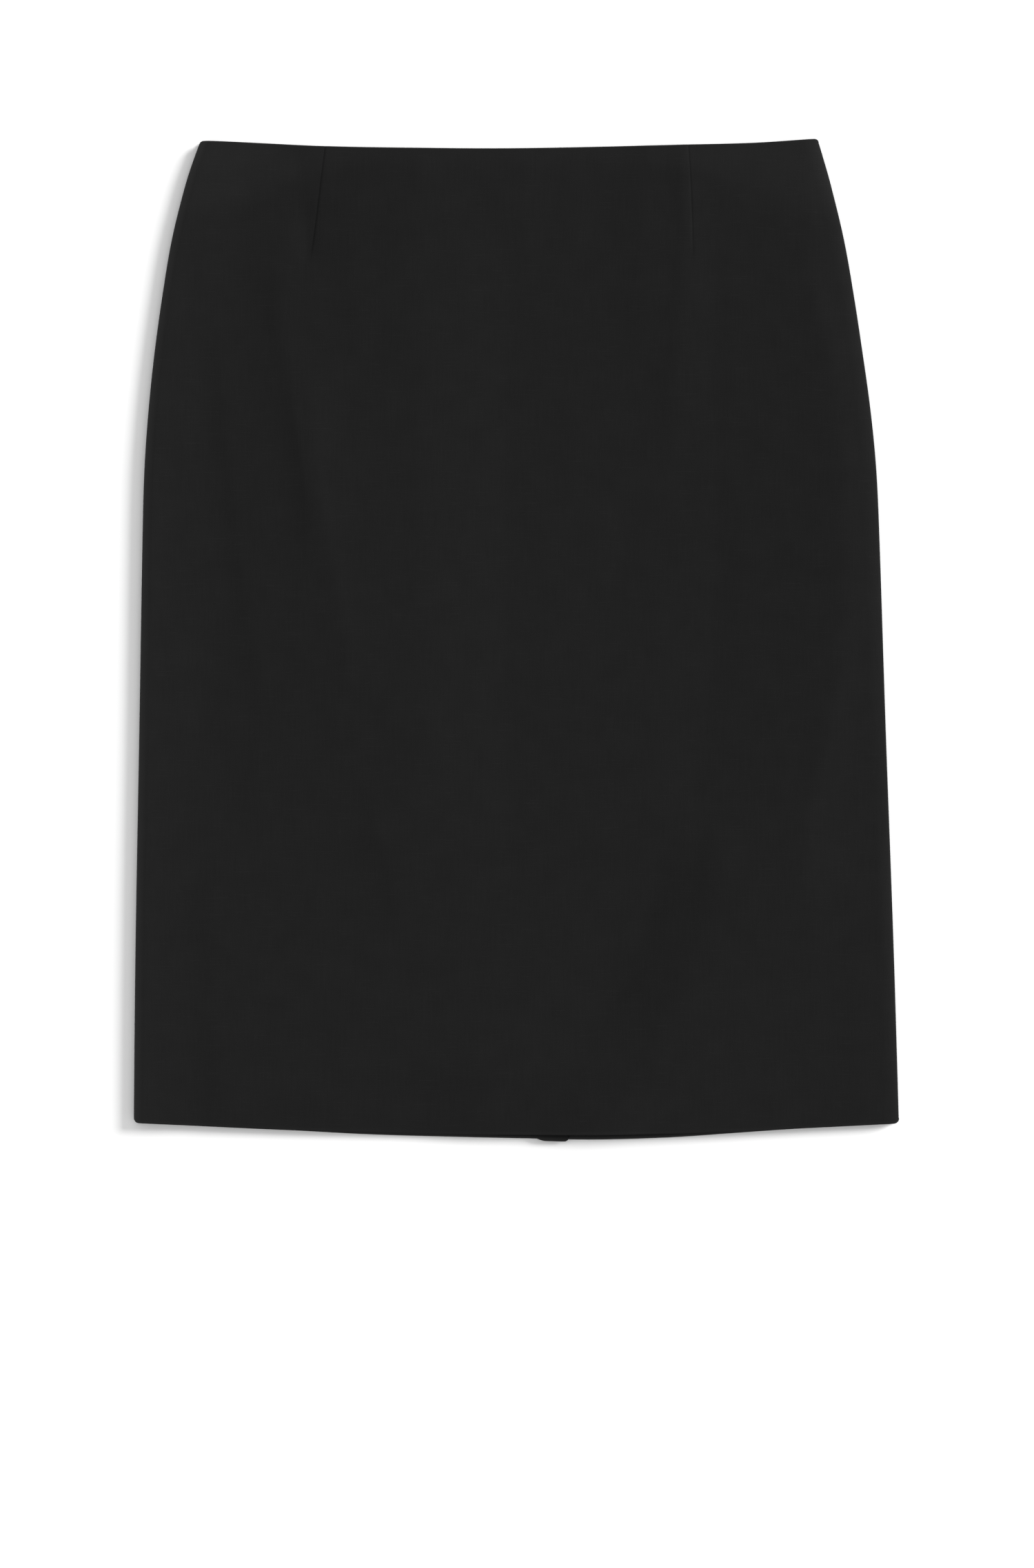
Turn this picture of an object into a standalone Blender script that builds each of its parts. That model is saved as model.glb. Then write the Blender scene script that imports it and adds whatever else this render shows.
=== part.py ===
"""A pencil skirt laid flat on its back, with a concealed zip and a vent in its centre back seam.

All sizes are in millimetres until a mesh is made, which is in metres. +X is the wearer's left, +Y runs up to
the waist and +Z up from the surface. The origin is at the middle of the skirt's box, on the surface. Left and
right in the tables are as seen from above, so left is at -X. The back panels are named for the wearer's sides.
"""

import math
from bisect import bisect_right
from collections import namedtuple

import bmesh
import bpy
from mathutils import Vector

MM = 0.001

# The cloth and the way its layers lie on each other
WALL = 1.1  # one layer
BAND_WALL = 1.9  # a layer and its turned-in edge
HEM_BAND = 36.0  # depth of the turned-up hem
WAIST_BAND = 7.8  # depth of the turned-in waist edge
BAND_STEP = 2.5  # over which a turned-in edge ends
SEAM_GAP = 0.3  # between two pieces at a seam
LAYER_GAP = 0.3  # between a piece and what it lies on
FLAT_TOP = 4.4  # mean height of the front, which hangs in folds over the back
BAND_LIFT = 2 * (BAND_WALL - WALL)

# The sides, where the back rolls up to the side seam and the front rolls over from it
BACK_ROLL = 2.2  # outer radius of the back's rolled edge
BACK_LIP = 0.4  # upright end of the back, below the seam
FRONT_LIP = 0.45  # upright start of the front, above the seam
Side = namedtuple("Side", "roll rise ease")  # how far in the crest is, how high, and how far it takes to settle
LEFT_ROLL = Side(6.5, 2.5, 26.0)
RIGHT_ROLL = Side(6.0, 1.6, 40.0)

# How softly the front comes down beside what it lies over
HEM_SOFT = 30.0
WAIST_SOFT = 26.0
LAYER_SOFT = 34.0  # on each side of the underlap and the tape
LAYER_FADE = 40.0  # above and below them
HEAD_LIFT = 2.7  # over the slider
HEAD_ACROSS = 110.0
HEAD_DOWN = 120.0
LAYER_MARGIN = 2.0
BEYOND = 400.0  # past any edge of the skirt

# Darts: shallow grooves where the cloth is pinched
DART_GROOVE = 0.4
DART_HALF = 1.5
DART_FADE = 14.0

# The concealed zip, under the back's waist edge
SLIDER_DROP = 13.9  # from the waist edge to the slider's middle
SLIDER_SIZE = (6.4, 9.0, 2.0)
SLIT_HALF = 0.8  # half the opening between the back panels at the slider
SLIT_REACH = 4.0
SLIT_SOFT = 1.5
TAPE_HALF = 10.0
TAPE_WALL = 1.0
TAPE_END = 198.9  # from the waist edge
RECESS = 2.2  # how high the back stands over the pull
RECESS_HALF = 4.0
RECESS_SOFT = 24.0
PULL_LENGTH = 22.0
PULL_ROOM = 2.0  # under the back, past the pull's free end
PULL_THICK = 0.7
PULL_HEIGHT = 1.45  # of the pull's hinge line above the surface
SLIDER_BEVEL = 0.5
BRIDGE_RADIUS = 0.35
BRIDGE_HALF = 2.0
BRIDGE_BEND = 0.7
BRIDGE_LOW = 0.5

# The vent's underlap, on the inside of the back
VENT_HEIGHT = 200.0
UNDERLAP_SEWN = 12.0  # from the centre back line to the sewn side
UNDERLAP_FREE = 33.0  # to the free side
UNDERLAP_SLANT = 18.0
UNDERLAP_DROP = 1.25  # of its free corner below the back's hem
UNDERLAP_TUCK = 1.2  # of its sewn corner above the back's hem
UNDERLAP_SWING = (0.46, 0.68)  # shares of its width between which its hem comes down
UNDERLAP_CORNER = 2.5
BAND_SOFT = 16.0  # how softly it lies over the turned-up hem

HEM_CORNER = 3.0
WAIST_CORNER = 1.8

# Where the sides lie, from the hem to the waist
Section = namedtuple("Section", "y left right")
SECTIONS = (
    Section(-325, 243.9, 244.4),
    Section(-200, 242.7, 240.7),
    Section(-62, 240.3, 235.7),
    Section(79, 237.9, 231.0),
    Section(114, 236.7, 229.1),
    Section(149, 234.1, 225.5),
    Section(184, 230.4, 220.6),
    Section(220, 225.4, 215.1),
    Section(255, 219.5, 208.9),
    Section(290, 210.8, 200.5),
    Section(308, 204.9, 195.4),
    Section(325, 198.5, 190.2),
)

# The hem and waist lines of the front and the back, by their share of the way from the left side to the right
Line = namedtuple("Line", "share front back")
HEM = (
    Line(0.0, -307.9, -307.9),
    Line(0.2, -312.6, -312.8),
    Line(0.3, -314.1, -315.4),
    Line(0.4, -315.2, -316.9),
    Line(0.5, -315.6, -318.0),
    Line(0.6, -315.6, -318.9),
    Line(0.7, -314.8, -317.5),
    Line(0.78, -313.6, -314.9),
    Line(0.86, -311.8, -312.2),
    Line(1.0, -308.4, -308.4),
)
WAIST = (
    Line(0.0, 317.9, 317.9),
    Line(0.1, 316.5, 315.7),
    Line(0.2, 314.6, 312.7),
    Line(0.35, 313.3, 309.7),
    Line(0.5, 313.0, 308.3),
    Line(0.65, 314.1, 310.3),
    Line(0.8, 315.6, 313.5),
    Line(0.9, 316.8, 315.6),
    Line(1.0, 319.4, 319.4),
)

# Each dart's share of the way across at the waist and at its tip, the tip's height, and how far its middle bows
Dart = namedtuple("Dart", "at_waist at_tip tip_y bow")
FRONT_DARTS = (Dart(0.2035, 0.2095, 243.5, 1.4), Dart(0.7895, 0.7725, 243.0, 0.0))
BACK_DARTS = (Dart(0.262, 0.286, 186.0, 1.0), Dart(0.738, 0.714, 186.0, -1.0))

# The front's folds, from (x1, y1) down to (x2, y2): bow moves the middle sideways, left and right are how far the
# flanks reach, crest is how round the ridge is, rise is how high it stands, or how deep, and fade how slowly it ends
Fold = namedtuple("Fold", "x1 y1 x2 y2 bow left right crest rise fade")
FOLDS = (
    Fold(-189, 190, -164, -20, -2, 6, 40, 2.0, 0.5, 60),
    Fold(-152, 215, -131, 90, -1, 9, 34, 2.5, 1.05, 50),
    Fold(-131, 130, -107, 0, -2, 46, 13, 2.5, 1.05, 60),
    Fold(-106, 260, -99, 215, 0, 16, 30, 5.0, 0.45, 50),
    Fold(-62, 260, -60, -60, 0, 60, 44, 9.0, 1.4, 150),
    Fold(-4, 250, -7, -50, 0, 30, 80, 5.0, -1.45, 140),
    Fold(84, 320, 80, 215, 0, 14, 60, 4.0, 0.95, 60),
    Fold(107, 290, 100, 160, 3, 11, 60, 3.0, 1.1, 60),
    Fold(70, 60, 56, 20, 0, 28, 60, 7.0, -0.95, 60),
    Fold(124, 260, 114, -110, 10, 26, 42, 3.0, -0.95, 110),
    Fold(137, 190, 134, 90, 0, 10, 40, 4.0, 0.39, 60),
    Fold(184, 240, 184, -110, 25, 75, 18, 6.0, 2.15, 130),
    Fold(92, -165, 4, -330, 4, 80, 34, 4.0, -1.45, 60),
    Fold(128, -165, 48, -340, 8, 44, 90, 10.0, 2.65, 80),
    Fold(88, -170, 56, -215, 2, 40, 18, 3.0, -0.75, 34),
    Fold(-192, -170, -188, -290, 0, 16, 60, 4.0, 1.1, 70),
    Fold(-92, -110, -76, -160, 0, 7, 26, 2.0, 0.5, 40),
    Fold(-134, 266, -133, 250, 0, 5, 13, 2.0, -0.75, 16),
    Fold(-139, 300, -138, 268, 0, 9, 8, 3.0, -0.3, 24),
)
CALM_ACROSS = 34.0  # the cloth is drawn tight over the zip's head
CALM_DOWN = 52.0


def ease(share):
    """0 to 1 with a soft start and end."""
    share = min(max(share, 0.0), 1.0)
    return share * share * (3 - 2 * share)


def plateau(at, low, high, soft):
    """1 between low and high, easing to 0 over the distance soft on both sides."""
    return ease((at - low) / soft + 1) * ease((high - at) / soft + 1)


def bell(share):
    """1 at zero, falling softly to 0 on both sides."""
    return math.exp(-(share**2))


def curve(rows, column, at):
    """The smooth curve through one column of a table, read at a value of the table's first column."""
    where = [row[0] for row in rows]
    what = [getattr(row, column) for row in rows]
    at = min(max(at, where[0]), where[-1])
    first = min(bisect_right(where, at) - 1, len(rows) - 2)

    def slope(i):
        before, after = max(i - 1, 0), min(i + 1, len(rows) - 1)
        return (what[after] - what[before]) / (where[after] - where[before])

    span = where[first + 1] - where[first]
    t = (at - where[first]) / span
    return (
        (1 + 2 * t) * (1 - t) ** 2 * what[first]
        + t * (1 - t) ** 2 * span * slope(first)
        + t * t * (3 - 2 * t) * what[first + 1]
        + t * t * (t - 1) * span * slope(first + 1)
    )


def left_side(y):
    return -curve(SECTIONS, "left", y)


def right_side(y):
    return curve(SECTIONS, "right", y)


def x_at(share, y):
    return left_side(y) + share * (right_side(y) - left_side(y))


def share_at(x, y):
    return (x - left_side(y)) / (right_side(y) - left_side(y))


def inset_at(x, y):
    """How far a point is in from the nearer side."""
    return max(min(x - left_side(y), right_side(y) - x), 0.0)


def rounded_corner(inset, radius):
    """How far a hem or waist line is cut back next to a side."""
    if inset >= radius:
        return 0.0
    return radius - math.sqrt(radius**2 - (radius - inset) ** 2)


def hem_line(panel, x, y):
    return curve(HEM, panel, share_at(x, y)) + rounded_corner(inset_at(x, y), HEM_CORNER)


def waist_line(panel, x, y):
    return curve(WAIST, panel, share_at(x, y)) - rounded_corner(inset_at(x, y), WAIST_CORNER)


def dart_x(dart, y):
    """The dart's line, carried on below its tip at the same share."""
    top = curve(WAIST, "front", dart.at_waist)
    climb = min(max((y - dart.tip_y) / (top - dart.tip_y), 0.0), 1.0)
    bowed = 4 * dart.bow * climb * (1 - climb)
    return x_at(dart.at_tip + climb * (dart.at_waist - dart.at_tip), y) + bowed


def dart_groove(darts, x, y):
    depth = 0.0
    for dart in darts:
        beside = max(1 - abs(x - dart_x(dart, y)) / DART_HALF, 0.0)
        depth += DART_GROOVE * beside * ease((y - dart.tip_y) / DART_FADE)
    return depth


def wall_at(panel, x, y):
    """How thick a panel is: double along its turned-in edges."""
    from_hem = y - hem_line(panel, x, y)
    from_waist = waist_line(panel, x, y) - y
    into_band = max(
        1 - (from_hem - HEM_BAND) / BAND_STEP, 1 - (from_waist - WAIST_BAND) / BAND_STEP
    )
    return WALL + (BAND_WALL - WALL) * min(max(into_band, 0.0), 1.0)


# Places that more than one piece is worked out from
CENTRE_SHARE = 0.5
SLIDER_Y = curve(WAIST, "back", CENTRE_SHARE) - SLIDER_DROP
SLIDER_X = x_at(CENTRE_SHARE, SLIDER_Y)
TAPE_TOP = SLIDER_Y - SLIDER_SIZE[1] / 2 - LAYER_GAP
TAPE_LOW = curve(WAIST, "back", CENTRE_SHARE) - TAPE_END
VENT_TOP = curve(HEM, "back", CENTRE_SHARE) + VENT_HEIGHT


def centre_x(y):
    return x_at(CENTRE_SHARE, y)


def recess(x, y):
    """How far the back stands up over the zip's pull."""
    across = plateau(x - SLIDER_X, -RECESS_HALF, RECESS_HALF, RECESS_SOFT)
    low = SLIDER_Y - PULL_LENGTH - PULL_ROOM
    along = plateau(y, low, SLIDER_Y + SLIT_REACH, RECESS_SOFT)
    return RECESS * across * along


def back_under(x, y):
    """Height of the back's outer face, which lies on the surface."""
    inset = inset_at(x, y)
    roll = 0.0
    if inset < BACK_ROLL:
        roll = BACK_ROLL - math.sqrt(BACK_ROLL**2 - (BACK_ROLL - inset) ** 2)
    return roll + recess(x, y) + dart_groove(BACK_DARTS, x, y)


def back_inside(x, y):
    return back_under(x, y) + wall_at("back", x, y)


def stacked(*lifts):
    """A little more than the largest lift, with no corner where two are equal."""
    return sum(lift**3 for lift in lifts) ** (1 / 3)


def layer_lifts(x, y):
    """How far the underlap raises the front, and then the turned-in edges, the tape and the slider."""
    from_hem = y - hem_line("front", x, y)
    from_waist = waist_line("front", x, y) - y
    aside = x - centre_x(y)
    bands = BAND_LIFT * max(
        plateau(from_hem, -BEYOND, HEM_BAND + BAND_STEP, HEM_SOFT),
        plateau(from_waist, -BEYOND, WAIST_BAND, WAIST_SOFT),
    )
    vent = plateau(
        aside, -UNDERLAP_SEWN - LAYER_MARGIN, UNDERLAP_FREE + LAYER_MARGIN, LAYER_SOFT
    ) * plateau(y, -BEYOND, VENT_TOP, LAYER_FADE)
    tape_edge = TAPE_HALF + LAYER_MARGIN
    tape = plateau(aside, -tape_edge, tape_edge, LAYER_SOFT) * plateau(y, TAPE_LOW, BEYOND, LAYER_FADE)
    head = bell(aside / HEAD_ACROSS) * bell(max(SLIDER_Y - y, 0.0) / HEAD_DOWN)
    return WALL * vent, (bands, (TAPE_WALL + LAYER_GAP) * tape, HEAD_LIFT * head)


def folds(x, y):
    """The front's folds, together."""
    rise = 0.0
    for fold in FOLDS:
        down = min(max((fold.y1 - y) / (fold.y1 - fold.y2), 0.0), 1.0)
        aside = x - (fold.x1 + down * (fold.x2 - fold.x1) + 4 * fold.bow * down * (1 - down))
        reach = fold.left if aside < 0 else fold.right
        flank = math.exp((fold.crest - math.hypot(aside, fold.crest)) / reach)
        rise += fold.rise * flank * plateau(y, fold.y2, fold.y1, fold.fade)
    return rise * (1 - bell((x - SLIDER_X) / CALM_ACROSS) * bell((y - SLIDER_Y) / CALM_DOWN))


def front_top(x, y):
    """Height of the front's outer face."""
    inset = inset_at(x, y)
    roll, rise, settle = LEFT_ROLL if x < centre_x(y) else RIGHT_ROLL
    side = rise * bell(max(inset - roll, 0.0) / settle)
    vent, others = layer_lifts(x, y)
    full = FLAT_TOP + vent + stacked(side, *others) + folds(x, y) - dart_groove(FRONT_DARTS, x, y)
    start = BACK_ROLL + BACK_LIP + SEAM_GAP + FRONT_LIP
    over = 1 - min(inset / roll, 1.0)
    return start + (full - start) * math.sqrt(1 - over**2)


# A column gives x at a height y. A row gives y at a point, so the two are crossed by a few rounds.


def from_left(inset):
    return lambda y: left_side(y) + inset


def from_right(inset):
    return lambda y: right_side(y) - inset


def at_share(share):
    return lambda y: x_at(share, y)


def beside_dart(dart, aside):
    return lambda y: dart_x(dart, y) + aside


def beside_centre(side, aside=0.0):
    """A line along the centre back seam, which opens at the slider."""

    def column(y):
        opened = plateau(y, SLIDER_Y - SLIT_REACH, SLIDER_Y + SLIT_REACH, SLIT_SOFT)
        half_gap = SEAM_GAP / 2 + (SLIT_HALF - SEAM_GAP / 2) * opened
        return centre_x(y) + side * (half_gap + aside)

    return column


def above_hem(panel, height):
    return lambda x, y: hem_line(panel, x, y) + height


def below_waist(panel, drop):
    return lambda x, y: waist_line(panel, x, y) - drop


def part_way(panel, share):
    def row(x, y):
        low = hem_line(panel, x, y)
        return low + share * (waist_line(panel, x, y) - low)

    return row


def crossing(column, row):
    y = row(0.0, 0.0)
    for _ in range(4):
        x = column(y)
        y = row(x, y)
    return column(y), y


# Where the columns lie: insets from a side, shares of the way across, and distances from the centre back
ROLL_SHARES = (0.0, 0.0, 0.06, 0.19, 0.46, 1.0)  # of the front's rolled side
FRONT_INSETS = (12.0, 20.0, 29.0, 39.0, 49.0)
BACK_INSETS = (0.0, 0.0, 0.35, 1.1, 2.4, 8.0)
FRONT_OUTER = (0.13, 0.155, 0.18)
BACK_OUTER = (0.1, 0.18)
BACK_INNER = (0.34, 0.4)
CENTRE_ASIDES = (28.0, 16.0, 10.0, 4.0, 0.0)

# Where the rows lie: heights above the hem, shares of the way up, and drops below the waist
HEM_ROWS = (0.0, HEM_BAND, HEM_BAND + BAND_STEP, 64.0)
WAIST_ROWS = (68.0, 54.0, 42.0, 32.0, 22.0, WAIST_BAND + BAND_STEP, WAIST_BAND, 0.0)

# Evenly spaced values, with none at low or high themselves
Spread = namedtuple("Spread", "low high count")
FRONT_INNER = Spread(0.22, 0.76, 28)
FRONT_ROWS = Spread(0.105, 0.895, 15)
BACK_ROWS = Spread(0.105, 0.895, 11)


def spread(low, high, count):
    return [low + (high - low) * (i + 1) / (count + 1) for i in range(count)]


def dart_columns(dart):
    return [beside_dart(dart, aside) for aside in (-DART_HALF, 0.0, DART_HALF)]


def front_side(side):
    """The columns from one side to the dart next to it."""
    from_side = from_left if side < 0 else from_right
    roll = LEFT_ROLL.roll if side < 0 else RIGHT_ROLL.roll
    return [
        *[from_side(share * roll) for share in ROLL_SHARES],
        *[from_side(inset) for inset in FRONT_INSETS],
        *[at_share(share if side < 0 else 1 - share) for share in FRONT_OUTER],
    ]


def front_columns():
    left, right = FRONT_DARTS
    return [
        *front_side(-1),
        *dart_columns(left),
        *[at_share(share) for share in spread(*FRONT_INNER)],
        *dart_columns(right),
        *reversed(front_side(1)),
    ]


def back_columns(side):
    """From the side seam to the centre back seam; side is -1 for the wearer's right, 1 for the left."""
    from_side = from_left if side < 0 else from_right
    dart = BACK_DARTS[0 if side < 0 else 1]
    mirrored = (lambda share: share) if side < 0 else (lambda share: 1 - share)
    columns = [
        *[from_side(inset) for inset in BACK_INSETS],
        *[at_share(mirrored(share)) for share in BACK_OUTER],
        *(dart_columns(dart) if side < 0 else reversed(dart_columns(dart))),
        *[at_share(mirrored(share)) for share in BACK_INNER],
        *[beside_centre(side, aside) for aside in CENTRE_ASIDES],
    ]
    return columns if side < 0 else columns[::-1]


def panel_rows(panel, extra=()):
    drops = sorted({*WAIST_ROWS, *extra}, reverse=True)
    middle = FRONT_ROWS if panel == "front" else BACK_ROWS
    return [
        *[above_hem(panel, height) for height in HEM_ROWS],
        *[part_way(panel, share) for share in spread(*middle)],
        *[below_waist(panel, drop) for drop in drops],
    ]


def cloth_material(name, colour, roughness):
    material = bpy.data.materials.new(name)
    material.use_nodes = True
    shader = material.node_tree.nodes["Principled BSDF"]
    shader.inputs["Base Color"].default_value = (*colour, 1)
    shader.inputs["Roughness"].default_value = roughness
    return material


def metal_material():
    material = cloth_material("zip metal", (0.05, 0.05, 0.055), 0.35)
    material.node_tree.nodes["Principled BSDF"].inputs["Metallic"].default_value = 1.0
    return material


def sheet(name, points, walls, thickest, faces_down, material):
    """A grid of points with one face as given, thickened away from it by each point's own wall."""
    across, along = len(points[0]), len(points)
    model = bmesh.new()
    bmesh.ops.create_grid(model, x_segments=across - 1, y_segments=along - 1, size=0.5)
    weights = {}
    for vert in model.verts:
        column = round((vert.co.x + 0.5) * (across - 1))
        row = round((vert.co.y + 0.5) * (along - 1))
        vert.co = Vector(points[row][column]) * MM
        weights[vert.index] = walls[row][column] / thickest
    if faces_down:
        bmesh.ops.reverse_faces(model, faces=model.faces)
    mesh = bpy.data.meshes.new(name)
    model.to_mesh(mesh)
    model.free()
    obj = place(name, mesh, material)
    group = obj.vertex_groups.new(name="wall")
    for index, weight in weights.items():
        group.add([index], weight, "REPLACE")
    solidify = obj.modifiers.new("wall", "SOLIDIFY")
    solidify.thickness = thickest * MM
    solidify.offset = -1
    solidify.vertex_group = group.name
    solidify.use_quality_normals = True
    return obj


def place(name, mesh, material):
    obj = bpy.data.objects.new(name, mesh)
    obj.data.materials.append(material)
    skirt.objects.link(obj)
    return obj


def front(material):
    points, walls = [], []
    columns = front_columns()
    for row in panel_rows("front"):
        line, thick = [], []
        for index, column in enumerate(columns):
            x, y = crossing(column, row)
            z = front_top(x, y)
            if index in (0, len(columns) - 1):
                z -= FRONT_LIP
            line.append((x, y, z))
            thick.append(wall_at("front", x, y))
        points.append(line)
        walls.append(thick)
    return sheet("front", points, walls, BAND_WALL, False, material)


def back(name, side, material):
    slit_end = SLIT_REACH + SLIT_SOFT
    slit = [SLIDER_DROP + reach for reach in (-slit_end, -SLIT_REACH, SLIT_REACH, slit_end)]
    points, walls = [], []
    columns = back_columns(side)
    lip = 0 if side < 0 else len(columns) - 1
    for row in panel_rows("back", extra=slit):
        line, thick = [], []
        for index, column in enumerate(columns):
            x, y = crossing(column, row)
            z = back_under(x, y)
            if index == lip:
                z += BACK_LIP
            line.append((x, y, z))
            thick.append(wall_at("back", x, y))
        points.append(line)
        walls.append(thick)
    return sheet(name, points, walls, BAND_WALL, True, material)


UNDERLAP_ROWS = (0.0, 0.012, HEM_BAND / VENT_HEIGHT, 0.25, 0.4, 0.55, 0.7, 0.85, 1.0)
UNDERLAP_COLUMNS = (0.0, 0.24, 0.46, 0.52, 0.57, 0.62, 0.68, 0.84, 0.945, 0.985, 1.0)


def underlap_low(share):
    """The underlap's hem, by its share of the way from the sewn side to the free side."""
    width = UNDERLAP_SEWN + UNDERLAP_FREE
    guess = curve(HEM, "back", CENTRE_SHARE)
    start, end = UNDERLAP_SWING
    down = ease((share - start) / (end - start))
    low = hem_line("back", centre_x(guess) + share * width - UNDERLAP_SEWN, guess)
    low += UNDERLAP_TUCK - (UNDERLAP_DROP + UNDERLAP_TUCK) * down
    return low + rounded_corner((1 - share) * width, UNDERLAP_CORNER)


def vent_underlap(material):
    """The underlap lies on the inside of both back panels, with its free corner below their hem."""
    width = UNDERLAP_SEWN + UNDERLAP_FREE
    points = []
    for up in UNDERLAP_ROWS:
        line = []
        for share in UNDERLAP_COLUMNS:
            low = underlap_low(share)
            high = VENT_TOP - UNDERLAP_SLANT * share
            y = low + up * (high - low)
            x = centre_x(y) + share * width - UNDERLAP_SEWN
            from_hem = y - hem_line("back", x, y)
            over_band = plateau(from_hem, -BEYOND, HEM_BAND + BAND_STEP, BAND_SOFT)
            z = WALL + (BAND_WALL - WALL) * over_band + LAYER_GAP
            line.append((x, y, z))
        points.append(line)
    walls = [[WALL] * len(line) for line in points]
    return sheet("vent_underlap", points, walls, WALL, True, material)


def zip_tape(material):
    """The tape lies on the inside of both back panels, from below the slider down."""
    waist = curve(WAIST, "back", CENTRE_SHARE)
    bends = [waist - drop for drop in WAIST_ROWS if waist - drop < TAPE_TOP]
    inner = CENTRE_ASIDES[-2]
    points = []
    for y in [TAPE_LOW, *spread(TAPE_LOW, bends[0], 2), *bends, TAPE_TOP]:
        line = []
        for aside in (-TAPE_HALF, -inner, inner, TAPE_HALF):
            x = centre_x(y) + aside
            line.append((x, y, back_inside(x, y) + LAYER_GAP))
        points.append(line)
    walls = [[TAPE_WALL] * len(line) for line in points]
    return sheet("zip_tape", points, walls, TAPE_WALL, True, material)


def as_mesh(curve_object):
    """A curve's solid as a mesh object of its own, with its caps welded on."""
    bpy.context.view_layer.update()
    graph = bpy.context.evaluated_depsgraph_get()
    mesh = bpy.data.meshes.new_from_object(curve_object.evaluated_get(graph))
    model = bmesh.new()
    model.from_mesh(mesh)
    bmesh.ops.remove_doubles(model, verts=model.verts, dist=0.00001)
    bmesh.ops.recalc_face_normals(model, faces=model.faces)
    model.to_mesh(mesh)
    model.free()
    obj = bpy.data.objects.new(curve_object.name + "_mesh", mesh)
    obj.matrix_world = curve_object.matrix_world
    bpy.data.objects.remove(curve_object)
    return obj


def poly_curve(name, dimensions, loops, cyclic):
    """A curve of straight runs through each loop's points."""
    data = bpy.data.curves.new(name, "CURVE")
    data.dimensions = dimensions
    for loop in loops:
        spline = data.splines.new("POLY")
        spline.points.add(len(loop) - 1)
        for point, (x, y, z) in zip(spline.points, loop):
            point.co = (x * MM, y * MM, z * MM, 1)
        spline.use_cyclic_u = cyclic
    obj = bpy.data.objects.new(name, data)
    skirt.objects.link(obj)
    return obj


def zip_slider(material):
    """The slider's body lies inside the skirt; its bridge reaches out between the back panels."""
    inside = RECESS + WALL + LAYER_GAP + SLIDER_SIZE[2] / 2
    model = bmesh.new()
    bmesh.ops.create_cube(model, size=1.0)
    bmesh.ops.scale(model, vec=Vector(SLIDER_SIZE) * MM, verts=model.verts)
    bmesh.ops.bevel(
        model,
        geom=model.edges,
        offset=SLIDER_BEVEL * MM,
        segments=2,
        profile=0.5,
        affect="EDGES",
    )
    mesh = bpy.data.meshes.new("zip_slider")
    model.to_mesh(mesh)
    model.free()
    body = place("zip_slider", mesh, material)
    body.location = Vector((SLIDER_X, SLIDER_Y, inside)) * MM

    route = [
        (0, -BRIDGE_HALF, inside),
        (0, -BRIDGE_HALF, BRIDGE_LOW + BRIDGE_BEND),
        (0, -BRIDGE_HALF + BRIDGE_BEND, BRIDGE_LOW),
        (0, BRIDGE_HALF - BRIDGE_BEND, BRIDGE_LOW),
        (0, BRIDGE_HALF, BRIDGE_LOW + BRIDGE_BEND),
        (0, BRIDGE_HALF, inside),
    ]
    wire = poly_curve("bridge", "3D", [route], cyclic=False)
    wire.data.bevel_depth = BRIDGE_RADIUS * MM
    wire.data.bevel_resolution = 2
    wire.data.use_fill_caps = True
    wire.location = Vector((SLIDER_X, SLIDER_Y, 0)) * MM
    bridge = as_mesh(wire)
    cutters.objects.link(bridge)
    bridge.hide_render = True
    bridge.display_type = "WIRE"
    join = body.modifiers.new("bridge", "BOOLEAN")
    join.operation = "UNION"
    join.object = bridge
    return body


# The pull's outline: half its width at each distance from the hinge line
Width = namedtuple("Width", "along half")
PULL_WIDTHS = (
    Width(-0.3, 2.0),
    Width(3.6, 2.0),
    Width(7.0, 1.2),
    Width(12.0, 1.9),
    Width(17.0, 2.6),
    Width(20.0, 2.1),
    Width(PULL_LENGTH - 0.5, 1.1),
    Width(PULL_LENGTH, 0.4),
)
PULL_EYE = (0.3, 3.2, 1.0)  # where the eye starts and ends along the pull, and half its width


def zip_pull(material):
    """A flat tab that hangs from the slider's bridge, with its origin on the hinge line."""
    down = [(row.half, -row.along, 0) for row in PULL_WIDTHS]
    back_up = [(-row.half, -row.along, 0) for row in reversed(PULL_WIDTHS)]
    start, end, half = PULL_EYE
    eye = [(-half, -start, 0), (-half, -end, 0), (half, -end, 0), (half, -start, 0)]
    flat = poly_curve("zip_pull_outline", "2D", [down + back_up, eye], cyclic=True)
    flat.data.fill_mode = "BOTH"
    flat.data.extrude = PULL_THICK / 2 * MM
    obj = as_mesh(flat)
    obj.name = "zip_pull"
    obj.data.materials.clear()
    obj.data.materials.append(material)
    skirt.objects.link(obj)
    obj.location = Vector((SLIDER_X, SLIDER_Y, PULL_HEIGHT)) * MM
    return obj


for obj in list(bpy.data.objects):
    bpy.data.objects.remove(obj)
skirt = bpy.data.collections.new("pencil_skirt")
cutters = bpy.data.collections.new("cutters")
for collection in (skirt, cutters):
    bpy.context.scene.collection.children.link(collection)

crepe = cloth_material("black crepe", (0.013, 0.013, 0.013), 0.92)
tape = cloth_material("black tape", (0.016, 0.016, 0.017), 0.8)
metal = metal_material()
front(crepe)
back("back_left", 1, crepe)
back("back_right", -1, crepe)
vent_underlap(crepe)
zip_tape(tape)
zip_slider(metal)
zip_pull(metal)
for obj in skirt.objects:
    obj.data.shade_smooth()
    obj.data.set_sharp_from_angle(angle=math.radians(35))
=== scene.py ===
# Pencil skirt laid flat on its back: crepe panels with darts, a hem vent and a concealed zip
import math

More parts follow.
